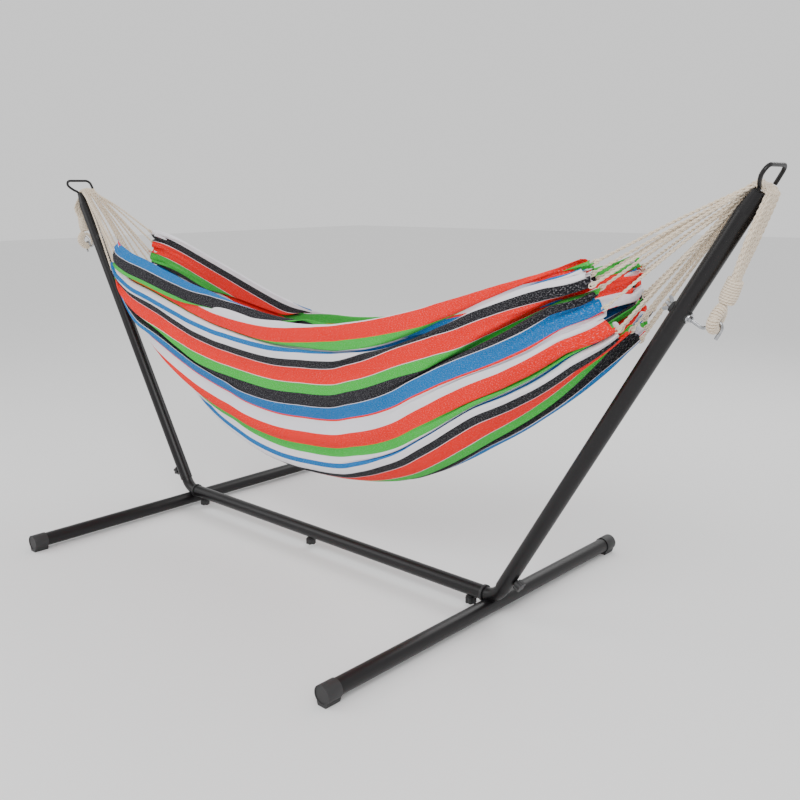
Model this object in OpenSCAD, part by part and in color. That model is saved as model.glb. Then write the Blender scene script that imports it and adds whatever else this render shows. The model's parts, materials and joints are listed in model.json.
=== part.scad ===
// Space-saving steel hammock stand with a gathered-end cotton hammock.
// Frame: X along the hammock, Y across it, Z up; the origin is the middle of
// the footprint on the ground. Right is +X, left is -X, front is -Y.

/* [Stand] */
// Distance between the two cross tubes
foot_gap = 1350; // [1250:10:1450]
// Length of each cross tube
foot_len = 1200; // [1000:10:1300]
// Outer diameter of the cross tubes and uprights
tube_d = 42; // [41:0.5:46]
// Outer diameter of the centre beam
beam_d = 40; // [39.5:0.5:42]
// Bore of the beam and upright tubes that the elbows slide into
socket_d = 37; // [36:0.1:37.5]
// Wall of the bent elbow tubes
elbow_wall = 2; // [1.5:0.1:3]
// Height of the cross tube axis over the ground
foot_z = 29; // [28:0.5:32]
// Height of the centre beam axis over the cross tube axis
beam_rise = 28; // [26:0.5:32]
// Lean of the uprights from the vertical
lean = 30.5; // [28:0.5:33]
// Distance along an upright from the beam's height to its tip
upright_len = 1216; // [1150:1:1280]

/* [Fittings] */
// Diameter of the hook bolt rod
hook_d = 8; // [7:0.5:9]
// Distance from the beam's height to the right hook bolt along the upright
hook_at_right = 925; // [900:1:960]
// Distance from the beam's height to the left hook bolt along the upright
hook_at_left = 1021; // [980:1:1040]
// Diameter of the rope guide loop rod
guide_d = 9; // [8:0.5:10]
// Diameter of the star knobs
knob_d = 31; // [26:1:34]
// Number of lobes on a star knob
knob_lobes = 6; // [5:1:8]
// Diameter of the knob stud
stud_d = 8; // [6:1:8]

/* [Hammock] */
// Length of the cloth between its two gathered ends
cloth_len = 1960; // [1860:10:1980]
// Height of the cloth's rim at its lowest
rim_low = 731; // [700:1:780]
// Height of the cloth's keel at its lowest
keel_low = 240; // [230:1:300]
// Half width of the hanging cloth at the middle
cloth_half = 100; // [90:1:120]
// Thickness of the solid that stands for the cloth
cloth_t = 6; // [5:1:10]
// Diameter of one clew cord
cord_d = 5; // [4:0.5:5.5]
// Number of clew cords at each end
cord_count = 20; // [16:2:20]

/* [Hidden] */
$fn = 64;

steel = "#2b2a2e";
plastic = "#161517";
zinc = "#c4c7cc";
cotton = "#e9dccb";
stripe = "#f0442e";

foot_x = foot_gap / 2;
beam_z = foot_z + beam_rise;
// Where the beam's axis and the upright's axis meet
corner_x = foot_x + 20;
bend_r = 60;
bend = 90 - lean;
bend_len = bend_r * tan(bend / 2);
elbow_d = socket_d - 0.2;
elbow_leg = 110;
bend_lap = 2;
bend_step = 0.6;
tube_bore = tube_d - 3;
beam_end = corner_x - bend_len - 10;
upright_start = 39;
swage_len = 95;
seam_x = 0;
bush_t = 7;
bush_d = 46;

// Places of the star knobs along the beam and up the uprights
knob_beam_x = 608;
knob_middle_x = -41;
knob_upright_t = 82;
knob_h = 17;
knob_boss_d = 17;
knob_boss_h = 4;
knob_gap = 0.5;
stud_hole = stud_d + 0.6;
nut_bore = stud_d + 0.1;
nut_flats = 13;
nut_h = 6;

cap_wall = 2.4;
cap_len = 44;
cap_end = 12;
foot_w = 32;

taper_len = 46;
tip_d = 26;

// Outline of a hook: outward from the upright's axis, and along the upright
hook_reach = 52;
hook_turn = 14;
hook_peak = 80;
hook_drop = 18;
hook_start = -40;
hook_r = hook_d / 2;

// The rope that goes over the tip and down to the hook
rope_w = 40;
rope_t = 13;
rope_y = 18;
eye_w = 13;
eye_h = 30;
collar_at = 57;
collar_len = 50;
collar_gap = 4;

hang_x = corner_x + upright_len * sin(lean);
hang_z = beam_z + upright_len * cos(lean);
clew_start = 16;
keel_lift = 35;

function cat(lists) = [for (l = lists) for (p = l) p];
function arc(c, r, a0, a1, n) =
    [for (i = [0:n]) let (a = a0 + (a1 - a0) * i / n) c + r * [cos(a), sin(a)]];
function unit(v) = v / norm(v);
function tangent(p, i) =
    unit(p[min(i + 1, len(p) - 1)] - p[max(i - 1, 0)]);

// A closed tube along a path that lies in the plane with the given normal;
// rn and rb are its radii along the normal and across it, one per point
module tube_along(path, normal, rn, rb, sides) {
    count = len(path);
    points = [for (i = [0:count - 1])
        let (t = tangent(path, i), b = unit(cross(t, normal)))
        for (k = [0:sides - 1])
        let (a = 360 * k / sides)
        path[i] + normal * rn[i] * cos(a) + b * rb[i] * sin(a)];
    sides_faces = [for (i = [0:count - 2]) for (k = [0:sides - 1])
        let (m = (k + 1) % sides)
        [i * sides + k, i * sides + m, (i + 1) * sides + m, (i + 1) * sides + k]];
    first = [for (k = [sides - 1:-1:0]) k];
    last = [for (k = [0:sides - 1]) (count - 1) * sides + k];
    polyhedron(points, concat([first], sides_faces, [last]), convexity = 6);
}

// A closed ring along a path that returns to its start
module ring_along(path, normal, r, sides) {
    count = len(path);
    points = [for (i = [0:count - 1])
        let (t = unit(path[(i + 1) % count] - path[(i + count - 1) % count]),
             b = unit(cross(t, normal)))
        for (k = [0:sides - 1])
        let (a = 360 * k / sides)
        path[i] + normal * r[i] * cos(a) + b * r[i] * sin(a)];
    faces = [for (i = [0:count - 1]) for (k = [0:sides - 1])
        let (m = (k + 1) % sides, j = (i + 1) % count)
        [i * sides + k, i * sides + m, j * sides + m, j * sides + k]];
    polyhedron(points, faces, convexity = 6);
}

module flip(side) {
    if (side < 0) mirror([1, 0, 0]) children();
    else children();
}

// Right-hand upright frame: Z along the tube, X outward, at t along its axis
module on_upright(t) {
    translate([corner_x + t * sin(lean), 0, beam_z + t * cos(lean)])
        rotate([0, lean, 0]) children();
}

module pipe(d, bore, h) {
    difference() {
        cylinder(d = d, h = h);
        translate([0, 0, -1]) cylinder(d = bore, h = h + 2);
    }
}

// --- Base ---

module cross_tube(side) {
    color(steel) translate([side * foot_x, foot_len / 2, foot_z])
        rotate([90, 0, 0]) pipe(tube_d, tube_bore, foot_len);
}

// A plastic sleeve with a closed end, a raised rim and a foot block under it
module end_cap(side, end) {
    sleeve = tube_d + 0.2;
    outer = sleeve + 2 * cap_wall;
    color(plastic) translate([side * foot_x, 0, 0]) scale([1, end, 1])
    difference() {
        union() {
            translate([0, foot_len / 2 + cap_end, foot_z]) rotate([90, 0, 0])
                cylinder(d = outer, h = cap_len);
            translate([0, foot_len / 2 + cap_end, 0]) rotate([90, 0, 0])
                linear_extrude(height = cap_len)
                polygon([[-foot_w / 2 + 3, 0], [foot_w / 2 - 3, 0],
                         [foot_w / 2, 9], [foot_w / 2, foot_z - 9],
                         [-foot_w / 2, foot_z - 9], [-foot_w / 2, 9]]);
        }
        translate([0, foot_len / 2 + 0.2, foot_z]) rotate([90, 0, 0])
            cylinder(d = sleeve, h = cap_len);
        translate([0, foot_len / 2 + cap_end + 1, foot_z]) rotate([90, 0, 0])
            cylinder(d = outer - 5, h = 2.5);
    }
}

// The bent insert tube, coped and welded onto the cross tube
module elbow(side) {
    bore = elbow_d - 2 * elbow_wall;
    color(steel) flip(side) difference() {
        union() {
            translate([corner_x - bend_len - elbow_leg, 0, beam_z]) rotate([0, 90, 0])
                pipe(elbow_d, bore, elbow_leg + bend_lap);
            on_upright(bend_len - bend_lap) pipe(elbow_d, bore, elbow_leg + bend_lap);
            translate([corner_x - bend_len, 0, beam_z + bend_r]) rotate([90, 0, 0])
                rotate([0, 0, -90]) rotate_extrude(angle = bend) translate([bend_r, 0])
                difference() {
                    circle(d = elbow_d + bend_step);
                    circle(d = bore + bend_step);
                }
        }
        translate([foot_x, 100, foot_z]) rotate([90, 0, 0])
            cylinder(d = tube_d, h = 200);
        translate([knob_beam_x, 0, beam_z - beam_d]) cylinder(d = stud_hole, h = beam_d);
        on_upright(knob_upright_t) rotate([0, 90, 0]) cylinder(d = stud_hole, h = tube_d);
    }
}

module beam_bush(side) {
    color(plastic) flip(side) translate([beam_end + 0.1, 0, beam_z])
        rotate([0, 90, 0]) difference() {
            cylinder(d = bush_d, h = bush_t);
            translate([0, 0, -1]) cylinder(d = socket_d, h = bush_t + 2);
            // Cleared by the cross tube under it
            translate([beam_rise, 0, foot_x - beam_end]) rotate([90, 0, 0])
                cylinder(d = tube_d + 0.4, h = 80, center = true);
        }
}

module beam_hole(x) {
    translate([x, 0, beam_z - beam_d]) cylinder(d = stud_hole, h = beam_d);
}

// Left half of the beam; its inner end is the socket of the middle joint
module beam_left() {
    color(steel) difference() {
        translate([-beam_end, 0, beam_z]) rotate([0, 90, 0])
            pipe(beam_d, socket_d, beam_end + seam_x);
        beam_hole(-knob_beam_x);
        beam_hole(knob_middle_x);
    }
}

// Right half of the beam, with its swaged end inside the left half
module beam_right() {
    color(steel) difference() {
        union() {
            translate([seam_x + 0.2, 0, beam_z]) rotate([0, 90, 0])
                cylinder(d = beam_d, h = beam_end - seam_x - 0.2);
            translate([seam_x - swage_len, 0, beam_z]) rotate([0, 90, 0])
                cylinder(d = elbow_d, h = swage_len + 5);
        }
        translate([seam_x - swage_len - 1, 0, beam_z]) rotate([0, 90, 0])
            cylinder(d = elbow_d - 3, h = swage_len + 30);
        translate([seam_x + 25, 0, beam_z]) rotate([0, 90, 0])
            cylinder(d = socket_d, h = beam_end);
        beam_hole(knob_beam_x);
        beam_hole(knob_middle_x);
    }
}

// --- Uprights ---

module upright(side, hook_at) {
    straight = upright_len - taper_len - upright_start;
    color(steel) flip(side) on_upright(0) difference() {
        union() {
            translate([0, 0, upright_start]) cylinder(d = tube_d, h = straight);
            translate([0, 0, upright_start + straight])
                cylinder(d1 = tube_d, d2 = tip_d, h = taper_len);
        }
        translate([0, 0, upright_start - 1]) cylinder(d = socket_d, h = straight + 1);
        translate([0, 0, hook_at]) rotate([0, 90, 0])
            cylinder(d = hook_d + 0.6, h = 2 * tube_d, center = true);
        translate([0, 0, knob_upright_t]) rotate([0, 90, 0])
            cylinder(d = stud_hole, h = tube_d);
    }
}

// Rod loop over the tip: a bowed fixed leg, a top bar and a free leg
module guide_loop(side) {
    flat = cat([[[-8, 0.3], [-8.5, 5], [-13, 11], [-23, 17], [-32, 25]],
                arc([-24, 41], 17, 205, 90, 8),
                arc([38, 40], 18, 90, 0, 7),
                [[57, 28], [57.5, 15]]]);
    path = [for (p = flat) [0, p[0], p[1]]];
    r = [for (p = flat) guide_d / 2];
    color(steel) flip(side) on_upright(upright_len) tube_along(path, [1, 0, 0], r, r, 12);
}

// --- Hook bolts ---

// A rod through the upright that turns up, over and down into an open hook
module hook(side, hook_at) {
    flat = cat([[[hook_start, 0], [-10, 0], [30, 0]],
                arc([hook_reach, hook_turn], hook_turn, -90, 0, 6),
                arc([hook_peak, hook_drop], hook_turn, 180, 0, 12),
                [[hook_peak + hook_turn + 0.6, 9], [hook_peak + hook_turn + 1, -2]]]);
    path = [for (p = flat) [p[0], 0, p[1]]];
    r = [for (p = flat) hook_r];
    color(zinc) flip(side) on_upright(hook_at) tube_along(path, [0, 1, 0], r, r, 14);
}

// Zinc nut and curved saddle on the outside of the upright
module hook_saddle(side, hook_at) {
    color(zinc) flip(side) on_upright(hook_at) difference() {
        union() {
            translate([tube_d / 2 - 5, 0, 0]) rotate([0, 90, 0]) cylinder(d = 24, h = 8.2);
            translate([tube_d / 2 + 3.2, 0, 0]) rotate([0, 90, 0])
                cylinder(d = 15, h = 6, $fn = 6);
        }
        translate([0, 0, -30]) cylinder(d = tube_d + 4, h = 60);
        rotate([0, 90, 0]) cylinder(d = hook_d + 0.4, h = 60);
    }
}

// Two black rubber pads that fit the round of the upright
module rubber_pads(side, hook_at) {
    color(plastic) flip(side) on_upright(hook_at) difference() {
        union() {
            translate([tube_d / 2 - 6, 0, 0]) rotate([0, 90, 0]) cylinder(d = 27, h = 7.9);
            translate([-tube_d / 2 - 3, 0, 0]) rotate([0, 90, 0]) cylinder(d = 27, h = 9);
        }
        translate([0, 0, -30]) cylinder(d = tube_d + 0.2, h = 60);
        // The outer pad is a thin curved sheet under the saddle
        difference() {
            translate([0, -30, -30]) cube([60, 60, 60]);
            translate([0, 0, -31]) cylinder(d = tube_d + 3.8, h = 62);
        }
        rotate([0, 90, 0]) cylinder(d = hook_d + 0.6, h = 80, center = true);
    }
}

module wing(tilt) {
    rotate([0, tilt, 0]) translate([-6.5, 0, 5]) rotate([90, 0, 0])
        linear_extrude(height = 2.4, center = true)
        polygon([[0, -1], [6, -1], [5.5, 9], [1, 15], [-5, 16], [-7, 11], [-3, 6]]);
}

module wing_nut(side, hook_at) {
    seat = -tube_d / 2 - 3.3;
    color(zinc) flip(side) on_upright(hook_at) translate([seat, 0, 0]) difference() {
        union() {
            rotate([0, -90, 0]) cylinder(d1 = 15, d2 = 12, h = 9);
            wing(-12);
            mirror([0, 0, 1]) wing(-12);
        }
        rotate([0, 90, 0]) cylinder(d = hook_d + 0.1, h = 60, center = true);
    }
}

// --- Star knobs ---

// A knob with its stud, hanging down from the origin at the tube's surface
module star_knob() {
    top = -knob_gap - knob_boss_h;
    translate([0, 0, -knob_gap - knob_boss_h]) cylinder(d = knob_boss_d, h = knob_boss_h);
    difference() {
        translate([0, 0, top - knob_h]) cylinder(d = knob_d, h = knob_h);
        for (k = [0:knob_lobes - 1]) rotate([0, 0, 360 * (k + 0.5) / knob_lobes])
            translate([knob_d / 2 + 3.2, 0, top - knob_h - 1]) cylinder(d = 12, h = knob_h + 2);
    }
    translate([0, 0, top]) cylinder(d = stud_d, h = 16);
}

module knob_under_beam(x) {
    color(plastic) translate([x, 0, beam_z - beam_d / 2]) star_knob();
}

module knob_on_upright(side) {
    color(plastic) flip(side) on_upright(knob_upright_t) translate([tube_d / 2, 0, 0])
        rotate([0, -90, 0]) star_knob();
}

module knob_nut() {
    difference() {
        cylinder(d = nut_flats / cos(30), h = nut_h, $fn = 6);
        translate([0, 0, -1]) cylinder(d = nut_bore, h = nut_h + 2);
    }
}

// The nuts that are welded inside the inner tubes, one for each star knob
module knob_nuts() {
    wall_in = elbow_d / 2 - elbow_wall;
    color(zinc) {
        for (x = [-knob_beam_x, knob_middle_x, knob_beam_x])
            translate([x, 0, beam_z - wall_in + 1.6]) knob_nut();
        for (side = [-1, 1])
            flip(side) on_upright(knob_upright_t) translate([wall_in - 1.6, 0, 0])
                rotate([0, -90, 0]) knob_nut();
    }
}

// --- Rope over the tip, collar, eye and thimble ---

// In an upright's plane: out from its axis, and up from the hook bolt
function hook_point(hook_at, out, up) =
    let (t = hook_at + up)
    [corner_x + t * sin(lean) + out * cos(lean), 0, beam_z + t * cos(lean) - out * sin(lean)];

// The eye's lowest point, inside the top of the hook
function eye_base(hook_at) = hook_point(hook_at, hook_peak, hook_drop);
function tail_top() = [hang_x + 22, 0, hang_z - 22];
function tail_dir(hook_at) = unit(tail_top() - eye_base(hook_at));

// The bundle of cords over the tip, as one flat rope
module rope_tail(side, hook_at) {
    d = tail_dir(hook_at);
    low = eye_base(hook_at) + d * (collar_at + collar_len + collar_gap);
    span = low - tail_top();
    tip = [hang_x, 0, hang_z];
    over = [[-7, 0, 14], [-1, 0, 14.2], [6, 0, 12], [13, 0, 6.5], [17.8, 0, -1.5], [20.5, 0, -11]];
    path = cat([[for (p = over) tip + p],
                [for (f = [0:0.25:1]) tail_top() + span * f + [16 * f * (1 - f), 0, 0]]]);
    count = len(path);
    f = [for (i = [0:count - 1]) i / (count - 1)];
    wide = [for (i = [0:count - 1]) (rope_w - 13 * f[i]) / 2];
    deep = [for (i = [0:count - 1]) (rope_t + 13 * max(0, f[i] - 0.5) * 2) / 2];
    color(cotton) flip(side)
        tube_along([for (i = [0:count - 1]) path[i] + [0, rope_y * (1 - f[i]), 0]],
                   [0, 1, 0], wide, deep, 14);
}

module rope_collar(side, hook_at) {
    d = tail_dir(hook_at);
    base = eye_base(hook_at) + d * collar_at;
    color(cotton) flip(side) translate(base) rotate([0, atan2(d[0], d[2]), 0]) {
        cylinder(d1 = 34, d2 = 38, h = collar_len * 0.4);
        translate([0, 0, collar_len * 0.4]) cylinder(d1 = 38, d2 = 29, h = collar_len * 0.6);
    }
}

// Points round the eye in its own plane: across, and up from its base
function eye_loop(grow, n) =
    [for (i = [0:n - 1]) let (a = 360 * i / n - 90, s = sin(a))
        [(eye_w + grow) * cos(a) * (1 - 0.28 * max(0, s)),
         (eye_h + grow) * (0.5 + 0.5 * s) * 1.25 - grow * 0.9]];

module rope_eye(side, hook_at) {
    d = tail_dir(hook_at);
    base = eye_base(hook_at);
    loop = eye_loop(9, 28);
    path = [for (p = loop) base + [0, p[0] - 1, 0] + d * (p[1] + 6)];
    // The front limb is whipped thick and the back limb stays thin
    r = [for (p = loop) 7.4 - 1.2 * p[0] / 22];
    normal = cross([0, 1, 0], d);
    color(cotton) flip(side) ring_along(path, normal, r, 12);
}

module thimble(side, hook_at) {
    d = tail_dir(hook_at);
    base = eye_base(hook_at);
    loop = eye_loop(-1.8, 24);
    path = [for (p = loop) base + [0, p[0] * 0.9 - 1, 0] + d * (p[1] * 0.76 + 6.4)];
    r = [for (p = loop) 1.5];
    normal = cross([0, 1, 0], d);
    color(zinc) flip(side) ring_along(path, normal, r, 8);
}

// --- Hammock ---

half_len = cloth_len / 2;
end_push = 60;
sections = 20;
arcs = 20;

function rim_z(x) = rim_low + 138 * (sqrt(1 + pow(x / 400, 2)) - 1);
function keel_z(x) = keel_low + 540 * pow(x / 1000, 2) + keel_lift * pow(x / 1000, 6);
function half_w(x) =
    (cloth_half + 40 * pow(x / 750, 2)) * sqrt(max(0.2, 1 - pow(abs(x) / 1030, 10)));

// A point of the cloth's section: at x along the cloth, a degrees round it, inset by t
function cloth_point(x, a, t) =
    let (s = sqrt(max(0, sin(a))))
    [x + sign(x) * end_push * pow(abs(x) / half_len, 2) * s,
     rope_y - (half_w(x) - t) * cos(a),
     rim_z(x) - (rim_z(x) - keel_z(x) - t) * s];

module hammock_cloth() {
    xs = [for (i = [-sections:sections]) half_len * sin(90 * i / sections * 0.9) / sin(81)];
    ring = 2 * (arcs + 1);
    points = [for (x = xs) each concat(
        [for (k = [0:arcs]) cloth_point(x, 180 * k / arcs, 0)],
        [for (k = [arcs:-1:0]) cloth_point(x, 180 * k / arcs, cloth_t)])];
    sides = [for (i = [0:2 * sections - 1]) for (k = [0:ring - 1])
        let (m = (k + 1) % ring, a = i * ring, b = (i + 1) * ring)
        each [[a + k, a + m, b + m], [a + k, b + m, b + k]]];
    last = 2 * sections * ring;
    ends = [for (k = [0:arcs - 1]) let (m = ring - 1 - k)
        each [[k, m - 1, k + 1], [k, m, m - 1],
              [last + k, last + k + 1, last + m - 1], [last + k, last + m - 1, last + m]]];
    color(stripe) polyhedron(points, concat(sides, ends), convexity = 10);
}

// The clew: cords that fan out from the tip to the gathered end
module clew_cords(side) {
    inset = 2;
    color(cotton) flip(side) for (k = [0:cord_count - 1]) {
        a = 4 + 172 * k / (cord_count - 1);
        to = cloth_point(half_len, a, cloth_t / 2) + [inset, 0, 0];
        s = sqrt(sin(a));
        from = [hang_x - clew_start, rope_y - 18 * cos(a), hang_z + 17 - 6 * s];
        d = from - to;
        translate(to) rotate([0, acos(d[2] / norm(d)), atan2(d[1], d[0])])
            cylinder(d = cord_d, h = norm(d), $fn = 24);
    }
}

cross_tube(-1);  // cross_tube_left
cross_tube(1);  // cross_tube_right
end_cap(-1, -1);  // end_cap_left_front
end_cap(-1, 1);  // end_cap_left_back
end_cap(1, -1);  // end_cap_right_front
end_cap(1, 1);  // end_cap_right_back
elbow(-1);  // elbow_left
elbow(1);  // elbow_right
beam_bush(-1);  // beam_bush_left
beam_bush(1);  // beam_bush_right
beam_left();
beam_right();
upright(-1, hook_at_left);  // upright_left
upright(1, hook_at_right);  // upright_right
knob_nuts();
guide_loop(-1);  // guide_loop_left
guide_loop(1);  // guide_loop_right
hook(-1, hook_at_left);  // hook_left
hook(1, hook_at_right);  // hook_right
hook_saddle(-1, hook_at_left);  // hook_saddle_left
hook_saddle(1, hook_at_right);  // hook_saddle_right
rubber_pads(-1, hook_at_left);  // rubber_pads_left
rubber_pads(1, hook_at_right);  // rubber_pads_right
wing_nut(-1, hook_at_left);  // wing_nut_left
wing_nut(1, hook_at_right);  // wing_nut_right
knob_on_upright(-1);  // knob_upright_left
knob_on_upright(1);  // knob_upright_right
knob_under_beam(-knob_beam_x);  // knob_beam_left
knob_under_beam(knob_middle_x);  // knob_beam_middle
knob_under_beam(knob_beam_x);  // knob_beam_right
rope_tail(-1, hook_at_left);  // rope_tail_left
rope_tail(1, hook_at_right);  // rope_tail_right
rope_collar(-1, hook_at_left);  // rope_collar_left
rope_collar(1, hook_at_right);  // rope_collar_right
rope_eye(-1, hook_at_left);  // rope_eye_left
rope_eye(1, hook_at_right);  // rope_eye_right
thimble(-1, hook_at_left);  // thimble_left
thimble(1, hook_at_right);  // thimble_right
clew_cords(-1);  // clew_cords_left
clew_cords(1);  // clew_cords_right
hammock_cloth();
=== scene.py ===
"""A striped cotton hammock on a black steel stand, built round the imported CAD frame."""
import json
import math

import bpy
import numpy as np
from mathutils import Matrix, Vector


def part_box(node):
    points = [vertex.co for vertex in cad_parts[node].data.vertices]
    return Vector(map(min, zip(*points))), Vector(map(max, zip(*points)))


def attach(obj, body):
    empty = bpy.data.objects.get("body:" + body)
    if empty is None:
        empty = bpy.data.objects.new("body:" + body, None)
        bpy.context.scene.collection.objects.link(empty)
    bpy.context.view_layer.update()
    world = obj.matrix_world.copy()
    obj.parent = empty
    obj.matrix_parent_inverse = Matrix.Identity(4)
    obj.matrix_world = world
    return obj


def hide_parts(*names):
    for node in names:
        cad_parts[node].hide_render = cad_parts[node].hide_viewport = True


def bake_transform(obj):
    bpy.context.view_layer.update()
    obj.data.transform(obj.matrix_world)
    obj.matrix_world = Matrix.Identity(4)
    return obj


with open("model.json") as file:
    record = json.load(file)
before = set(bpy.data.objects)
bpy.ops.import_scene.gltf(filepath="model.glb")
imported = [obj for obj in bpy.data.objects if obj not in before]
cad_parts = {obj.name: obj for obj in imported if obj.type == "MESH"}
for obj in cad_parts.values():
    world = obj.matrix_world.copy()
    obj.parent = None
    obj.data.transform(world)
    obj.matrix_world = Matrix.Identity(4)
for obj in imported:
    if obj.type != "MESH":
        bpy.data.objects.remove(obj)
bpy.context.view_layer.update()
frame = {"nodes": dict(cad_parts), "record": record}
JOINTS = {joint["name"]: joint for joint in frame["record"]["behaviour"]["joints"]}

MM = 0.001


# ---------------------------------------------------------------- camera, floor and light

def aim(location, azimuth, elevation, roll):
    """World matrix of a camera or light that looks along azimuth, down by elevation."""
    az, el, ro = (math.radians(a) for a in (azimuth, elevation, roll))
    forward = Vector((-math.sin(az) * math.cos(el), math.cos(az) * math.cos(el), -math.sin(el)))
    level = Vector((math.cos(az), math.sin(az), 0))
    above = level.cross(forward)
    right = math.cos(ro) * level + math.sin(ro) * above
    up = -math.sin(ro) * level + math.cos(ro) * above
    matrix = Matrix((right, up, -forward)).transposed().to_4x4()
    matrix.translation = Vector(location)
    return matrix


CAMERA_LENS = 41.56
CAMERA_PLACE = (2.0536, -1.8393, 1.1104)
CAMERA_ANGLES = (42.808, 12.782, -0.389)


def make_camera():
    data = bpy.data.cameras.new("camera")
    data.lens = CAMERA_LENS
    data.sensor_width = 36
    camera = bpy.data.objects.new("camera", data)
    camera.matrix_world = aim(CAMERA_PLACE, *CAMERA_ANGLES)
    bpy.context.collection.objects.link(camera)
    bpy.context.scene.camera = camera


def area_light(name, location, azimuth, elevation, size, power):
    data = bpy.data.lights.new(name, "AREA")
    data.shape = "RECTANGLE"
    data.size, data.size_y = size
    data.energy = power
    light = bpy.data.objects.new(name, data)
    light.matrix_world = aim(location, azimuth, elevation, 0)
    bpy.context.collection.objects.link(light)


def make_studio():
    bpy.ops.mesh.primitive_plane_add(size=40)
    floor = bpy.context.object
    floor.name = "floor"
    material, tree, shader = new_material("floor_white")
    shader.inputs["Base Color"].default_value = (0.86, 0.86, 0.86, 1)
    shader.inputs["Roughness"].default_value = 0.9
    shader.inputs["Specular IOR Level"].default_value = 0.1
    floor.data.materials.append(material)
    world = bpy.data.worlds.new("studio")
    world.use_nodes = True
    background = world.node_tree.nodes["Background"]
    background.inputs["Color"].default_value = (1, 1, 1, 1)
    background.inputs["Strength"].default_value = 1.0
    bpy.context.scene.world = world
    area_light("key", (2.2, -2.6, 3.2), 40, 42, (2.4, 1.6), 90)
    area_light("fill", (-2.6, -2.4, 2.2), -45, 30, (2.0, 2.0), 30)
    area_light("back", (0.4, 3.0, 2.8), 175, 40, (3.0, 1.2), 40)


# ---------------------------------------------------------------- materials

def new_material(name):
    material = bpy.data.materials.new(name)
    material.use_nodes = True
    tree = material.node_tree
    return material, tree, tree.nodes["Principled BSDF"]


def node(tree, kind, inputs=(), **settings):
    """Adds a node; inputs is a list of (socket name or index, value or output socket)."""
    made = tree.nodes.new(kind)
    for key, value in settings.items():
        setattr(made, key, value)
    for socket, value in inputs:
        if isinstance(value, bpy.types.NodeSocket):
            tree.links.new(value, made.inputs[socket])
        else:
            made.inputs[socket].default_value = value
    return made


def math_node(tree, operation, a, b=0.0):
    return node(tree, "ShaderNodeMath", [(0, a), (1, b)], operation=operation).outputs[0]


def noise(tree, vector, scale, detail=2.0, rough=0.5):
    made = node(tree, "ShaderNodeTexNoise", [("Vector", vector), ("Scale", scale),
                ("Detail", detail), ("Roughness", rough)])
    return made.outputs["Fac"]


def span(tree, value, low, high):
    """Maps a texture's 0..1 to low..high."""
    made = node(tree, "ShaderNodeMapRange", [("Value", value), ("To Min", low), ("To Max", high)])
    return made.outputs[0]


def bump(tree, shader, height, strength, distance):
    made = node(tree, "ShaderNodeBump", [("Height", height), ("Strength", strength),
                ("Distance", distance)])
    tree.links.new(made.outputs[0], shader.inputs["Normal"])


def mixed(tree, factor, a, b):
    made = node(tree, "ShaderNodeMix", [(0, factor)], data_type="RGBA")
    for socket, value in ((6, a), (7, b)):
        if isinstance(value, bpy.types.NodeSocket):
            tree.links.new(value, made.inputs[socket])
        else:
            made.inputs[socket].default_value = (*value, 1)
    return made.outputs[2]


def powder_coat():
    material, tree, shader = new_material("powder_coat_black")
    place = node(tree, "ShaderNodeTexCoord").outputs["Object"]
    cloudy = noise(tree, place, 9.0, 4.0, 0.6)
    grain = noise(tree, place, 1400.0, 1.0)
    colour = mixed(tree, cloudy, (0.0035, 0.0030, 0.0035), (0.0070, 0.0060, 0.0070))
    tree.links.new(colour, shader.inputs["Base Color"])
    tree.links.new(span(tree, grain, 0.28, 0.42), shader.inputs["Roughness"])
    shader.inputs["Specular IOR Level"].default_value = 0.34
    bump(tree, shader, grain, 0.25, 0.0003)
    return material


def moulded_plastic():
    material, tree, shader = new_material("moulded_plastic_black")
    place = node(tree, "ShaderNodeTexCoord").outputs["Object"]
    pits = noise(tree, place, 900.0, 3.0, 0.7)
    scuffs = noise(tree, place, 35.0, 5.0, 0.65)
    colour = mixed(tree, scuffs, (0.011, 0.011, 0.012), (0.026, 0.025, 0.026))
    tree.links.new(colour, shader.inputs["Base Color"])
    tree.links.new(span(tree, scuffs, 0.42, 0.66), shader.inputs["Roughness"])
    bump(tree, shader, pits, 0.35, 0.0004)
    return material


def plated_zinc():
    material, tree, shader = new_material("plated_zinc")
    place = node(tree, "ShaderNodeTexCoord").outputs["Object"]
    painted_reflection_patches = noise(tree, place, 120.0, 4.0, 0.6)
    fine = noise(tree, place, 1600.0, 2.0)
    # Painted reflection: the darker patches in the plated colour stand in for reflections of dark
    # surroundings; the same noise also varies the roughness.
    colour = mixed(tree, painted_reflection_patches, (0.16, 0.165, 0.18), (0.66, 0.67, 0.69))
    tree.links.new(colour, shader.inputs["Base Color"])
    shader.inputs["Metallic"].default_value = 1.0
    tree.links.new(span(tree, painted_reflection_patches, 0.16, 0.34), shader.inputs["Roughness"])
    bump(tree, shader, fine, 0.15, 0.0002)
    return material


def soft_rubber():
    material, tree, shader = new_material("rubber_black")
    place = node(tree, "ShaderNodeTexCoord").outputs["Object"]
    dust = noise(tree, place, 300.0, 3.0)
    tree.links.new(mixed(tree, dust, (0.012, 0.012, 0.012), (0.03, 0.03, 0.03)),
                   shader.inputs["Base Color"])
    tree.links.new(span(tree, dust, 0.6, 0.85), shader.inputs["Roughness"])
    bump(tree, shader, dust, 0.3, 0.0003)
    return material


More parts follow.
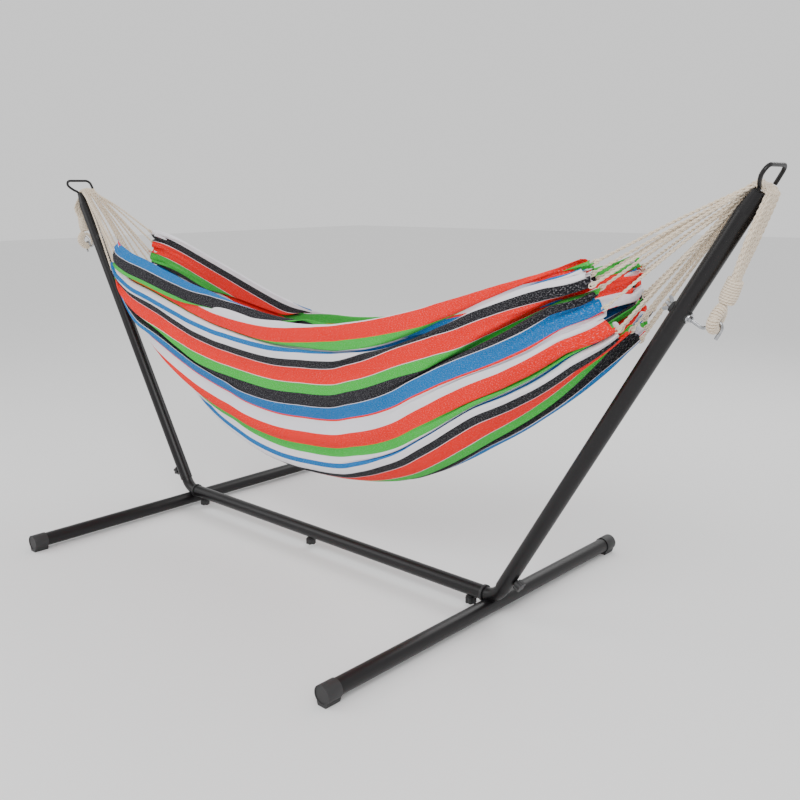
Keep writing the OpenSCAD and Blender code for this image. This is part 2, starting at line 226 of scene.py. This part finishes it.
def cotton_cord(name, light, dark, lay):
    """Twisted yarn: UV u runs round the cord and v along it in metres."""
    material, tree, shader = new_material(name)
    uv = node(tree, "ShaderNodeUVMap", uv_map="UVMap").outputs[0]
    place = node(tree, "ShaderNodeTexCoord").outputs["Object"]
    split = node(tree, "ShaderNodeSeparateXYZ", [(0, uv)])
    turns = math_node(tree, "ADD", math_node(tree, "MULTIPLY", split.outputs[1], 1 / lay),
                      math_node(tree, "MULTIPLY", split.outputs[0], 2.0))
    wave = math_node(tree, "SINE", math_node(tree, "MULTIPLY", turns, 2 * math.pi))
    strand = span(tree, math_node(tree, "MULTIPLY_ADD", wave, 0.5), 0.0, 1.0)
    strand.node.inputs["From Min"].default_value = -0.5
    strand.node.inputs["From Max"].default_value = 0.5
    fuzz = noise(tree, place, 1500.0, 3.0, 0.7)
    stain = noise(tree, place, 24.0, 3.0)
    # Painted shade: the grooves between the twisted strands are coloured dark, standing in for the
    # shade that falls in them; the stain noise then darkens the cord further at random.
    base = mixed(tree, strand, dark, light)
    colour = mixed(tree, span(tree, stain, 0.0, 0.35), base, dark)
    tree.links.new(colour, shader.inputs["Base Color"])
    shader.inputs["Roughness"].default_value = 0.9
    shader.inputs["Sheen Weight"].default_value = 0.4
    shader.inputs["Sheen Roughness"].default_value = 0.5
    shader.inputs["Specular IOR Level"].default_value = 0.15
    height = math_node(tree, "ADD", strand, math_node(tree, "MULTIPLY", fuzz, 0.5))
    bump(tree, shader, height, 0.7, 0.0006)
    return material


RED = (0.90, 0.008, 0.002)
GREEN = (0.035, 0.46, 0.045)
BLUE = (0.002, 0.150, 0.44)
COAL = (0.012, 0.012, 0.015)
WHITE = (0.82, 0.80, 0.85)
ORANGE = (0.86, 0.34, 0.12)

# One repeat of the stripes from the front selvage on: (colour, width in stripe units)
REPEAT = [(RED, 17), (WHITE, 0.6), (GREEN, 11), (ORANGE, 0.5), (COAL, 13.4), (WHITE, 0.7),
          (BLUE, 15.5), (RED, 2), (WHITE, 15), (RED, 17), (GREEN, 11.5), (WHITE, 8),
          (BLUE, 5.5), (WHITE, 8), (COAL, 9), (WHITE, 0.8)]
UNIT = 2.64 * MM
REPEAT_UNITS = sum(width for colour, width in REPEAT)
# The first repeat starts before the front selvage, so the cloth starts inside its green
SELVAGE_START = 24.6
CLOTH_UNITS = 551
# Clew cords at each end
CORDS = 18


def striped_cloth():
    """Woven cotton: UV u runs along the stripes and v across them, both in metres."""
    material, tree, shader = new_material("striped_cotton")
    uv = node(tree, "ShaderNodeUVMap", uv_map="UVMap").outputs[0]
    split = node(tree, "ShaderNodeSeparateXYZ", [(0, uv)])
    along, across = split.outputs[0], split.outputs[1]
    place = math_node(tree, "ADD", math_node(tree, "DIVIDE", across, UNIT), SELVAGE_START)
    phase = math_node(tree, "FRACT", math_node(tree, "DIVIDE", place, REPEAT_UNITS))
    ramp = node(tree, "ShaderNodeValToRGB", [(0, phase)])
    ramp.color_ramp.interpolation = "CONSTANT"
    stops = ramp.color_ramp.elements
    at = 0.0
    for index, (colour, width) in enumerate(REPEAT):
        stop = stops[index] if index < 2 else stops.new(at / REPEAT_UNITS)
        stop.position = at / REPEAT_UNITS
        stop.color = (*colour, 1)
        at += width
    # Melange: pale weft flecks show between the coloured warp threads
    stretched = node(tree, "ShaderNodeCombineXYZ", [
        (0, math_node(tree, "MULTIPLY", along, 260.0)),
        (1, math_node(tree, "MULTIPLY", across, 620.0))]).outputs[0]
    flecks = noise(tree, stretched, 1.0, 2.0, 0.7)
    pale = span(tree, flecks, 0.0, 1.0)
    pale.node.inputs["From Min"].default_value = 0.52
    pale.node.inputs["From Max"].default_value = 0.74
    heather = mixed(tree, math_node(tree, "MULTIPLY", pale, 0.30), ramp.outputs[0], WHITE)
    patch = noise(tree, uv, 7.0, 3.0, 0.6)
    shade = node(tree, "ShaderNodeHueSaturation", [("Color", heather),
                 ("Value", span(tree, patch, 0.90, 1.08))])
    tree.links.new(shade.outputs[0], shader.inputs["Base Color"])
    shader.inputs["Roughness"].default_value = 0.88
    shader.inputs["Specular IOR Level"].default_value = 0.06
    shader.inputs["Sheen Weight"].default_value = 0.04
    shader.inputs["Sheen Roughness"].default_value = 0.45
    thread = 1.1 * MM
    weft = math_node(tree, "SINE", math_node(tree, "MULTIPLY", along, 2 * math.pi / thread))
    warp = math_node(tree, "SINE", math_node(tree, "MULTIPLY", across, 2 * math.pi / thread))
    weave = math_node(tree, "ADD", math_node(tree, "MULTIPLY", weft, warp),
                      math_node(tree, "MULTIPLY", flecks, 1.4))
    bump(tree, shader, weave, 0.35, 0.0004)
    return material


# ---------------------------------------------------------------- mesh helpers

def path_length(path):
    """Distance along a path to each of its points."""
    return np.r_[0, np.cumsum(np.linalg.norm(np.diff(path, axis=0), axis=1))]


def carried_frames(tangent):
    """Unit side vectors a and b of a path with these tangents, carried without twist."""
    tangent = tangent / np.linalg.norm(tangent, axis=1)[:, None]
    side = np.cross(tangent[0], (0.13, 0.97, 0.21))
    first, second = [], []
    for t in tangent:
        side = side - t * (side @ t)
        side = side / np.linalg.norm(side)
        first.append(side)
        second.append(np.cross(t, side))
    return np.array(first), np.array(second)


class Shape:
    """Collects swept tubes into one mesh with UVs: u round the tube, v along it in metres."""

    def __init__(self):
        self.points, self.faces, self.uvs = [], [], []
        self.count = 0

    def tube(self, path, radius, sides=8, closed=False):
        path = np.asarray(path, float)
        radius = np.broadcast_to(np.asarray(radius, float), (len(path),))
        if closed:
            tangent = np.roll(path, -1, 0) - np.roll(path, 1, 0)
        else:
            tangent = np.gradient(path, axis=0)
        angle = 2 * np.pi * np.arange(sides) / sides
        ring = [p + r * (np.cos(angle)[:, None] * a + np.sin(angle)[:, None] * b)
                for p, r, a, b in zip(path, radius, *carried_frames(tangent))]
        length = path_length(path)
        base, n = self.count, len(path)
        self.points.append(np.concatenate(ring))
        self.count += n * sides
        rows = n if closed else n - 1
        for i in range(rows):
            j = (i + 1) % n
            v0 = length[i]
            v1 = length[i + 1] if i + 1 < n else length[i] + np.linalg.norm(path[0] - path[-1])
            for k in range(sides):
                m = (k + 1) % sides
                self.faces.append((base + i * sides + k, base + i * sides + m,
                                   base + j * sides + m, base + j * sides + k))
                u0, u1 = k / sides, (k + 1) / sides
                self.uvs += [(u0, v0), (u1, v0), (u1, v1), (u0, v1)]
        if not closed:
            for i, order in ((0, range(sides - 1, -1, -1)), (n - 1, range(sides))):
                self.faces.append(tuple(base + i * sides + k for k in order))
                self.uvs += [(k / sides, length[i]) for k in order]

    def build(self, name, material):
        mesh = bpy.data.meshes.new(name)
        mesh.from_pydata(np.concatenate(self.points).tolist(), [], self.faces)
        layer = mesh.uv_layers.new(name="UVMap")
        layer.data.foreach_set("uv", np.asarray(self.uvs, np.float32).ravel())
        mesh.polygons.foreach_set("use_smooth", [True] * len(mesh.polygons))
        mesh.materials.append(material)
        mesh.update()
        made = bpy.data.objects.new(name, mesh)
        bpy.context.collection.objects.link(made)
        return made


def smooth_path(points, count):
    """A Catmull-Rom curve through the points, at count even steps."""
    p = np.asarray(points, float)
    p = np.concatenate([[2 * p[0] - p[1]], p, [2 * p[-1] - p[-2]]])
    fine = []
    for i in range(1, len(p) - 2):
        for t in np.linspace(0, 1, 16, endpoint=False):
            a, b, c, d = p[i - 1:i + 3]
            fine.append(0.5 * (2 * b + (c - a) * t + (2 * a - 5 * b + 4 * c - d) * t * t
                               + (3 * b - a - 3 * c + d) * t ** 3))
    fine.append(p[-2])
    fine = np.array(fine)
    length = path_length(fine)
    want = np.linspace(0, length[-1], count)
    return np.stack([np.interp(want, length, fine[:, k]) for k in range(3)], 1)


def coil_round(path, radius, pitch, start=0.0):
    """Points of a helix wound round a path."""
    a, b = carried_frames(np.gradient(path, axis=0))
    angle = 2 * np.pi * path_length(path) / pitch + start
    radius = np.broadcast_to(radius, (len(path),))
    return (path + (radius * np.cos(angle))[:, None] * a + (radius * np.sin(angle))[:, None] * b)


def smoothstep(value, low, high):
    t = np.clip((value - low) / (high - low), 0, 1)
    return t * t * (3 - 2 * t)


# ---------------------------------------------------------------- places on the stand

# The wing nut's hinge point is this far inside the upright's axis
NUT_INSIDE = 30 * MM
TIP_RADIUS = 13 * MM
# The hook's crown, out from the axis and up from the bolt
HOOK_OUT = 80 * MM
HOOK_UP = 18 * MM
# Where the rope leaves the tip, outward and down
TAIL_OFFSET = 22 * MM


class End:
    """Directions and points of one leaning upright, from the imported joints."""

    def __init__(self, side):
        self.side = side
        self.sign = 1 if side == "right" else -1
        joint = JOINTS[f"wing_nut_{side}_turn"]
        self.out = -np.array(joint["axis"], float)
        self.up = self.sign * np.array((-self.out[2], 0, self.out[0]))
        self.bolt = np.array(joint["pos_m"], float) + NUT_INSIDE * self.out
        rim = TIP_RADIUS * abs(self.out[2])
        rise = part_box(f"upright_{side}")[1][2] - rim - self.bolt[2]
        self.tip = self.bolt + self.up * rise / self.up[2]
        self.eye_base = self.bolt + self.up * HOOK_UP + self.out * HOOK_OUT
        rope = self.tip + np.array((self.sign, 0, -1)) * TAIL_OFFSET - self.eye_base
        self.rope = rope / np.linalg.norm(rope)
        self.across = np.cross((0, 1, 0), self.rope)

    def at_tip(self, out, up, y):
        return self.tip + self.out * out + self.up * up + np.array((0, y, 0))


HANG = np.array(JOINTS["hammock_swing"]["pos_m"], float)


# ---------------------------------------------------------------- the cloth

HALF = 0.98
CLOTH_Y = HANG[1] + 6 * MM
STATIONS = 181
ACROSS = 541

# Places across the cloth, in stripe units from the front selvage
BACK_FOLD = 499
BACK_TURN = 485

# How the front edge lies from the left end to the right: x, the unit at the top of the wall,
# the unit at the top of the outward flap, and how much of the flap shows before it tucks under
FRONT_EDGE = [(-1.00, 34, 34, 34), (-0.56, 33, 31, 29), (-0.40, 31, 28, 19), (-0.13, 41, 18, 7),
              (0.04, 49, 7, 1), (0.16, 51, 4, 0), (0.58, 52, 4, 0), (0.74, 56, 4, 0),
              (0.90, 61, 4, 0)]

# How much of the back flap hangs free inside at the left end before it tucks under
BACK_SHOWN = [(-1.0, 56), (-0.72, 52), (-0.60, 40), (-0.30, 24), (-0.10, 16)]

# Folds that run along the cloth; each row is x and the first and last hidden unit there
FOLDS = [
    [(-1.0, 68, 81), (-0.56, 67, 80), (-0.24, 69, 85), (0.0, 74, 90), (0.15, 80, 92),
     (0.24, 81, 95), (0.33, 80, 108), (0.44, 75, 109), (0.56, 68, 106), (0.74, 65, 98),
     (0.88, 66, 94)],
    [(-1.0, 94, 101), (-0.62, 96, 101), (-0.45, 100, 100), (0.10, 106, 106), (0.24, 104, 110),
     (0.32, 108, 108)],
    [(-1.0, 127, 160), (-0.80, 128, 158), (-0.52, 139, 156), (-0.22, 153, 153), (0.26, 151, 151),
     (0.44, 149, 153), (0.54, 139, 153), (0.67, 128, 150), (0.74, 124, 149), (0.81, 120, 147),
     (0.88, 116, 146), (0.97, 114, 143)],
    [(-1.0, 185, 202), (-0.85, 186, 202), (-0.64, 199, 199), (0.30, 177, 177), (0.50, 174, 178),
     (0.75, 173, 180), (0.97, 172, 184)],
    [(-1.0, 223, 238), (-0.6, 226, 232), (-0.2, 207, 207), (0.40, 207, 207), (0.60, 205, 210),
     (0.97, 203, 213)],
    [(-1.0, 255, 277), (-0.5, 263, 267), (0.10, 224, 224), (0.35, 220, 227), (0.60, 216, 230),
     (0.97, 215, 234)],
    [(-1.0, 290, 310), (-0.5, 295, 299), (0.10, 281, 281), (0.50, 278, 285), (0.97, 275, 290)],
    [(-1.0, 323, 345), (-0.5, 330, 333), (0.80, 323, 327), (0.97, 313, 335)],
    [(-1.0, 357, 383), (-0.4, 367, 370), (0.80, 365, 370), (0.97, 356, 379)],
    [(-1.0, 395, 409), (-0.4, 398, 407), (0.2, 405, 405), (0.80, 404, 410), (0.97, 398, 420)],
    [(-1.0, 432, 437), (-0.3, 435, 435), (0.80, 436, 442), (0.97, 433, 456)],
]


def track(table, x):
    """Values at x from rows that start with their own x, with rounded corners."""
    rows = np.array(table, float)
    spots = x + np.linspace(-0.06, 0.06, 7)
    return [np.interp(spots, rows[:, 0], rows[:, k]).mean() for k in range(1, rows.shape[1])]


def rim_height(x):
    """Height of the cloth's rim; straight towards the ends, rounded in the middle."""
    return 0.731 + 0.138 * (np.sqrt(1 + (x / 0.4) ** 2) - 1)


def keel_height(x):
    """Height of the cloth's lowest line; its ends lift a little more at the right."""
    return 0.240 + 0.540 * x * x + (0.035 if x > 0 else 0.012) * x ** 6


def half_width(x):
    return (0.100 + 0.040 * (x / 0.75) ** 2) * math.sqrt(max(0.2, 1 - (abs(x) / 1.03) ** 10))


def section(x):
    """The smooth U of the cloth at x: points, outward normals, arc length and depth share."""
    turn = np.linspace(0, math.pi, 241)
    share = np.sqrt(np.sin(turn).clip(0))
    drop = 0.014 * smoothstep(-x, 0.7, 0.95)
    lift = 0.013 * smoothstep(-x, 0.15, 0.6)
    rim = rim_height(x) - drop * (0.5 + 0.5 * np.cos(turn)) + lift * (0.5 - 0.5 * np.cos(turn))
    y = CLOTH_Y - half_width(x) * np.cos(turn)
    z = rim - (rim - keel_height(x)) * share
    length = np.r_[0, np.cumsum(np.hypot(np.diff(y), np.diff(z)))]
    ty, tz = np.gradient(y), np.gradient(z)
    size = np.hypot(ty, tz)
    return y, z, tz / size, -ty / size, length, share


def fold_angle(x, units):
    """The angle of the long folds: each turns in, doubles back and comes out again."""
    angle = np.zeros(len(units))
    for table in FOLDS:
        first, last = track(table, x)
        wide = last - first
        if wide < 0.3:
            continue
        margin = 1.2 + 0.02 * wide
        t = (units - first + margin) / (wide + 2 * margin)
        wave = np.where((t > 0) & (t < 1), np.sin(2 * np.pi * t), 0)
        strength = math.radians(91) * min(1, wide / 6)
        angle -= strength * np.sign(wave) * np.abs(wave) ** 0.38
    return angle


def loose_angle(x, units):
    """Shallow waves over the whole cloth and crumples near the gathered ends."""
    hem = smoothstep(abs(x), 0.80, 0.97)
    covered = smoothstep(90 - units, 0, 15) * smoothstep(-x, 0.3, 0.6)
    covered = covered + smoothstep(units, 435, 455)
    seen = (1 - 0.5 * smoothstep(255 - units, 0, 40) * (1 - 0.7 * hem)) * (1 - 0.85 * covered)
    wander = 0.6 * np.sin(units / 31 + 2.2 * x) + 0.4 * np.sin(units / 17 - 1.3 * x + 1)
    broad = np.sin(2 * np.pi * (units - 75) / 47 + wander)
    fine = np.sin(2 * np.pi * units / 15.3 + 2.5 * wander + (3 if x > 0 else 0))
    size = 1 + 0.25 * np.sin(units / 23 + 0.7) - 0.2 * np.sin(units / 41 + 3 * x)
    return seen * size * (broad + 0.9 * hem * fine)


def turned(start, direction_out, direction_up, angles, steps):
    """Walks from a point; each step turns by its angle from up towards out."""
    out = np.cumsum(np.sin(angles) * steps)
    up = np.cumsum(np.cos(angles) * steps)
    return (start[None] + out[:, None] * direction_out[None] + up[:, None] * direction_up[None])


def front_edge(x, start, units, step):
    """The cloth beyond the top of the front wall: a tuck inside, then a flap outside."""
    wall, top, shown = track(FRONT_EDGE, x)
    flap = smoothstep(shown, 0.3, 2.5)
    tuck = max(0.0, (wall - top) / 2) + 4 * (1 - flap)
    tucked = smoothstep(tuck, 0.4, 2.5)
    walked = wall - units
    angle = -math.radians(168) * tucked * smoothstep(walked, 0, 3.0)
    angle += math.radians(166) * tucked * smoothstep(walked, tuck - 1.5, tuck + 1.5)
    over = 3.2 * tucked
    lean = math.radians(84 - 14 * smoothstep(-x, 0.45, 0.8))
    angle += math.radians(90) * flap * smoothstep(walked, 2 * tuck, 2 * tuck + 1.6)
    angle += lean * flap * smoothstep(walked, 2 * tuck + 1.6 + over, 2 * tuck + 3.2 + over)
    under = 2 * tuck + 1.6 + over + shown
    angle += (math.radians(186) * smoothstep(top - shown, 1, 4) * flap
              * smoothstep(walked, under, under + 2.2))
    outward, upward = np.array((-1.0, 0.0)), np.array((0.0, 1.0))
    return turned(start, outward, upward, angle, step)


def back_flap(x, start, walked, step, outward):
    """The cloth beyond the top of the back wall, turned down; inside, it also tucks under."""
    angle = math.radians(175) * smoothstep(walked, 0, 4.5)
    if outward < 0:
        shown = track(BACK_SHOWN, x)[0]
        for k in range(4):
            at = shown + k * (shown - 5)
            angle += (-1) ** k * math.radians(182) * smoothstep(walked, at, at + 2.2)
    return turned(start, np.array((float(outward), 0.0)), np.array((0.0, 1.0)), angle, step)


def cloth_row(x):
    """Points (y, z) across the cloth at x, front selvage first, and each one's depth share."""
    units = np.linspace(0, CLOTH_UNITS, ACROSS)
    step = CLOTH_UNITS * UNIT / (ACROSS - 1)
    y, z, ny, nz, length, share = section(x)
    wall = track(FRONT_EDGE, x)[0]
    roll_out = smoothstep(x, -0.28, -0.02)
    back = BACK_FOLD + (BACK_TURN - BACK_FOLD) * roll_out
    inside = (units >= wall) & (units <= back)
    folds, loose = fold_angle(x, units), loose_angle(x, units)
    low, high = 0.0, 2.0
    for _ in range(24):
        swing = (low + high) / 2
        if np.cos(folds + swing * loose)[inside].clip(0.02).sum() * step > length[-1]:
            low = swing
        else:
            high = swing
    swing = min(max(swing, 0.08), 1.35)
    angle = folds + swing * loose
    advance = np.cumsum(np.cos(angle[inside]).clip(0.02))
    advance = (advance - advance[0]) / (advance[-1] - advance[0]) * length[-1]
    offset = np.cumsum(np.sin(angle[inside])) * step
    offset -= np.linspace(offset[0], offset[-1], len(offset))
    kernel = np.hanning(141)
    drift = np.convolve(np.pad(offset, 70, mode="edge"), kernel / kernel.sum(), "valid")
    offset = offset - drift
    place = np.zeros((ACROSS, 2))
    py, pz = np.interp(advance, length, y), np.interp(advance, length, z)
    qy, qz = np.interp(advance, length, ny), np.interp(advance, length, nz)
    place[inside, 0] = py + qy * offset
    place[inside, 1] = pz + qz * offset
    depth = np.zeros(ACROSS)
    depth[inside] = np.interp(advance, length, share)
    before = np.nonzero(units < wall)[0][::-1]
    first = np.nonzero(inside)[0][0]
    place[before] = front_edge(x, place[first], units[before], step)
    after = np.nonzero(units > back)[0]
    last = np.nonzero(inside)[0][-1]
    hang_in = back_flap(x, place[last], units[after] - back, step, -1)
    hang_out = back_flap(x, place[last], units[after] - back, step, 1)
    blend = hang_in * (1 - roll_out) + hang_out * roll_out
    crumple = 1 - 3 * roll_out * (1 - roll_out)
    blend[:, 1] = place[last, 1] + (blend[:, 1] - place[last, 1]) * crumple
    place[after] = blend
    return units, place, depth


def cloth_points():
    """Grid of cloth points, station by station, with the flat coordinate across."""
    # Stations lie closer together towards the two ends
    turn = np.linspace(-81, 81, STATIONS) * math.pi / 180
    xs = HALF * np.sin(turn) / math.sin(math.radians(81))
    xs = 0.5 * xs + 0.5 * np.linspace(-HALF, HALF, STATIONS)
    grid = np.zeros((STATIONS, ACROSS, 3))
    for i, x in enumerate(xs):
        units, place, depth = cloth_row(x)
        close = (abs(x) / HALF) ** 2
        hem = smoothstep(abs(x), 0.90, HALF)
        beat = 2 * np.pi * units / (CLOTH_UNITS / CORDS)
        scallop = -(9 * np.cos(beat) + 3 * np.sin(2.7 * beat + x)) * MM * hem
        skew = smoothstep(-x, 0.3, HALF) * (0.055 - 0.11 * units / CLOTH_UNITS)
        grid[i, :, 0] = x + skew + math.copysign(1, x) * (0.060 * close * depth + scallop)
        grid[i, :, 1:] = place
    # Short crumples where the ends are gathered
    rng = np.random.default_rng(11)
    place = units * UNIT
    for _ in range(26):
        pitch, slant = rng.uniform(0.014, 0.045), rng.uniform(-9, 9)
        size, phase = rng.uniform(0.5, 1.3) * MM, rng.uniform(0, 6.3)
        reach = rng.uniform(0.05, 0.16)
        fade = np.exp(-(HALF - np.abs(xs)) / reach)[:, None]
        wave = np.sin(2 * np.pi * place[None] / pitch + slant * xs[:, None] * 4 + phase)
        grid[:, :, 1] += size * fade * wave
        grid[:, :, 2] += size * fade * np.roll(wave, 7, axis=1)
    span_rows = 3
    soft = np.pad(grid, ((span_rows, span_rows), (0, 0), (0, 0)), mode="reflect",
                  reflect_type="odd")
    weights = np.hanning(2 * span_rows + 3)[1:-1]
    grid = sum(w * soft[k:k + STATIONS] for k, w in enumerate(weights / weights.sum()))
    return xs, units, grid


def make_cloth(material):
    xs, units, grid = cloth_points()
    mesh = bpy.data.meshes.new("hammock_sheet")
    index = np.arange(STATIONS * ACROSS).reshape(STATIONS, ACROSS)
    faces = np.stack([index[:-1, :-1], index[1:, :-1], index[1:, 1:], index[:-1, 1:]], -1)
    mesh.from_pydata(grid.reshape(-1, 3).tolist(), [], faces.reshape(-1, 4).tolist())
    along = np.broadcast_to(xs[:, None], (STATIONS, ACROSS))
    across = np.broadcast_to(units[None] * UNIT, (STATIONS, ACROSS))
    flat = np.stack([along, across], -1).reshape(-1, 2)
    layer = mesh.uv_layers.new(name="UVMap")
    layer.data.foreach_set("uv", flat[faces.reshape(-1)].astype(np.float32).ravel())
    mesh.polygons.foreach_set("use_smooth", [True] * len(mesh.polygons))
    mesh.materials.append(material)
    mesh.update()
    sheet = bpy.data.objects.new("hammock_sheet", mesh)
    bpy.context.collection.objects.link(sheet)
    thick = sheet.modifiers.new("thickness", "SOLIDIFY")
    thick.thickness = 1.2 * MM
    thick.offset = 0
    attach(sheet, "hammock")
    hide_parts("hammock_cloth")
    return grid, units


# ---------------------------------------------------------------- clew cords, collar and eye

def hem_points(grid, units, end):
    """Where each clew cord meets the gathered end, front first."""
    edge = grid[-1] if end.sign > 0 else grid[0]
    wanted = (np.arange(CORDS) + 0.5) * CLOTH_UNITS / CORDS
    return np.array([edge[np.argmin(abs(units - w))] for w in wanted])


# The collar's start and length along the rope, from the crown of the hook
COLLAR_START = 56 * MM
COLLAR_LENGTH = 52 * MM
# How a cord crosses the tip: out from the axis and up from the tip's end, in mm
OVER_TIP = [(-17.5, -3), (-15.5, 3.0), (-10, 6.2), (0, 7.0), (10, 6.2), (15.5, 3.0), (18, -3)]
STRAND = 1.95 * MM
CORD_LAY = 26 * MM


def make_clew(end, hems, material):
    """Cords of two twisted strands in two layers, from the hem over the tip to the collar."""
    shape = Shape()
    collar_top = end.eye_base + end.rope * (COLLAR_START + COLLAR_LENGTH)
    for k, hem in enumerate(hems):
        column = k // 2
        upper = (k % 2 == 0) == (k < CORDS // 2)
        y = HANG[1] + (5 + 47 * (column / (CORDS // 2 - 1) - 0.5)) * MM
        y += 0.8 * MM if upper else -0.8 * MM
        raised = 5.4 * MM if upper else 0
        crossing = []
        for out, up in OVER_TIP:
            size = math.hypot(out, up + 6)
            grown = 1 + raised / MM / size
            crossing.append(end.at_tip(out * grown * MM, ((up + 6) * grown - 6) * MM, y))
        towards = crossing[0] - hem
        # The left cords from the keel run higher, clear of their wing nut in a full swing
        bow = 4 if end.sign > 0 else 4 + 15 * math.sin(math.pi * (k + 0.5) / CORDS)
        middle = hem + 0.55 * towards + np.array((0, 0, bow * MM))
        spread = 2 * column / (CORDS // 2 - 1) - 1
        depth = (5.5 if upper else -5.5) * math.sqrt(1.15 - spread * spread) * MM
        sink = collar_top + end.across * depth + np.array((0, 13 * spread, 0)) * MM
        drop = (crossing[-1] + sink) / 2 + end.out * 2 * MM + np.array((0, 7 * spread - 9, 0)) * MM
        path = smooth_path([hem, middle, *crossing, drop, sink, sink - end.rope * 12 * MM], 290)
        for phase in (0, math.pi):
            shape.tube(coil_round(path, STRAND * 0.86, CORD_LAY, k + phase), STRAND * 1.08, 6)
        # The loop that holds the gathered hem
        toward = towards / np.linalg.norm(towards)
        side = np.cross(toward, (0, 1, 0))
        angle = np.linspace(0, 2 * np.pi, 17)[:-1]
        loop = (hem + toward * 3 * MM + np.cos(angle)[:, None] * toward * 9 * MM
                + np.sin(angle)[:, None] * side / np.linalg.norm(side) * 5 * MM)
        shape.tube(loop, STRAND, 6, closed=True)
    clew = shape.build(f"clew_{end.side}", material)
    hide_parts(f"clew_cords_{end.side}", f"rope_tail_{end.side}")
    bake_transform(clew)


def make_collar(end, material):
    """Whipping: cord wound round the bundle, with a bulge low down."""
    shape = Shape()
    share = np.linspace(0, 1, 420)
    line = end.eye_base + end.rope * (COLLAR_START + COLLAR_LENGTH * share)[:, None]
    radius = np.interp(share, [0, 0.08, 0.35, 0.6, 1], [12.5, 15.2, 16.6, 16.0, 14.6]) * MM
    shape.tube(coil_round(line, radius, 5.6 * MM), 2.85 * MM, 8)
    shape.tube(line[::12], radius[::12] - 0.8 * MM, 20)
    collar = shape.build(f"collar_{end.side}", material)
    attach(collar, "stand")
    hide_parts(f"rope_collar_{end.side}")


def eye_path(end, count, first, last):
    """Part of the eye's ring, as shares of a turn from its lowest point, front side first."""
    angle = np.radians(-90) - 2 * np.pi * np.linspace(first, last, count)
    across, height = 22 * MM, 39 * MM * 1.25
    rise = np.sin(angle)
    y = across * np.cos(angle) * (1 - 0.28 * np.clip(rise, 0, 1)) - 1 * MM
    up = height * (0.5 + 0.5 * rise) - 2.1 * MM
    return end.eye_base + y[:, None] * np.array((0, 1, 0)) + up[:, None] * end.rope


def make_eye(end, material, pale):
    """The eye on the hook: a whipped front limb and a bare back limb of five cords."""
    front = eye_path(end, 300, -0.04, 0.47) - np.array((0, 2.5, 0)) * MM
    wound = Shape()
    share = np.linspace(0, 1, len(front))
    thick = (9.6 + 0.9 * np.sin(np.pi * share)) * MM
    wound.tube(coil_round(front, thick, 5.4 * MM), 2.7 * MM, 8)
    wound.tube(front[::10], thick[::10] - 0.4 * MM, 14)
    piece = wound.build(f"eye_wound_{end.side}", material)
    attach(piece, "stand")
    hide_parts(f"rope_eye_{end.side}")
    back = eye_path(end, 90, 0.53, 0.99)
    bare = Shape()
    for k in range(5):
        bare.tube(coil_round(back, 3.3 * MM, 70 * MM, 2 * np.pi * k / 5), 2.2 * MM, 8)
    bare.tube(back, 2.4 * MM, 8)
    piece = bare.build(f"eye_bare_{end.side}", pale)
    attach(piece, "stand")


# ---------------------------------------------------------------- CAD nodes

def dress_frame(finishes):
    """Gives each CAD node its finish, and eases the edges of the moulded and plated ones."""
    slots = {part["node"]: part["material_slot"] for part in frame["record"]["subparts"]}
    for name, made in frame["nodes"].items():
        made.data.materials.clear()
        made.data.materials.append(finishes[slots[name]])
        if slots[name] in ("black_plastic", "zinc"):
            weld = made.modifiers.new("weld", "WELD")
            weld.merge_threshold = 0.01 * MM
            ease = made.modifiers.new("ease", "BEVEL")
            ease.width = (0.9 if slots[name] == "black_plastic" else 0.4) * MM
            ease.segments = 2
            ease.limit_method = "ANGLE"
            ease.angle_limit = math.radians(40)
            ease.use_clamp_overlap = True


def weld_bead(name, centre, normal, radius, finish, waves):
    """A rippled ring of weld."""
    shape = Shape()
    normal = np.asarray(normal, float)
    side = np.cross(normal, (0, 1, 0))
    side /= np.linalg.norm(side)
    other = np.cross(normal, side)
    angle = np.linspace(0, 2 * np.pi, waves * 4, endpoint=False)
    ring = (np.asarray(centre) + radius * np.cos(angle)[:, None] * side
            + radius * np.sin(angle)[:, None] * other)
    shape.tube(ring, (1.6 + 0.4 * np.cos(waves * angle)) * MM, 7, closed=True)
    bead = shape.build(name, finish)
    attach(bead, "stand")


# ---------------------------------------------------------------- build

make_camera()
make_studio()
steel = powder_coat()
plastic = moulded_plastic()
zinc = plated_zinc()
rubber = soft_rubber()
# The dark cord colour is painted shade in the twist's grooves, and also the colour of the stains.
rope = cotton_cord("cotton_cord", (0.82, 0.72, 0.58), (0.50, 0.38, 0.26), 7 * MM)
pale_rope = cotton_cord("cotton_cord_pale", (0.86, 0.78, 0.66), (0.58, 0.47, 0.35), 7 * MM)
cloth = striped_cloth()
dress_frame({"black_steel": steel, "black_plastic": plastic, "zinc": zinc, "rubber": rubber,
             "cotton_rope": rope, "striped_cloth": cloth})
grid, units = make_cloth(cloth)
for side in ("left", "right"):
    end = End(side)
    make_clew(end, hem_points(grid, units, end), rope)
    make_collar(end, rope)
    make_eye(end, rope, pale_rope)
    weld_bead(f"guide_weld_{side}", end.at_tip(0, 0.6 * MM, -8 * MM), end.up, 4.8 * MM, steel, 16)
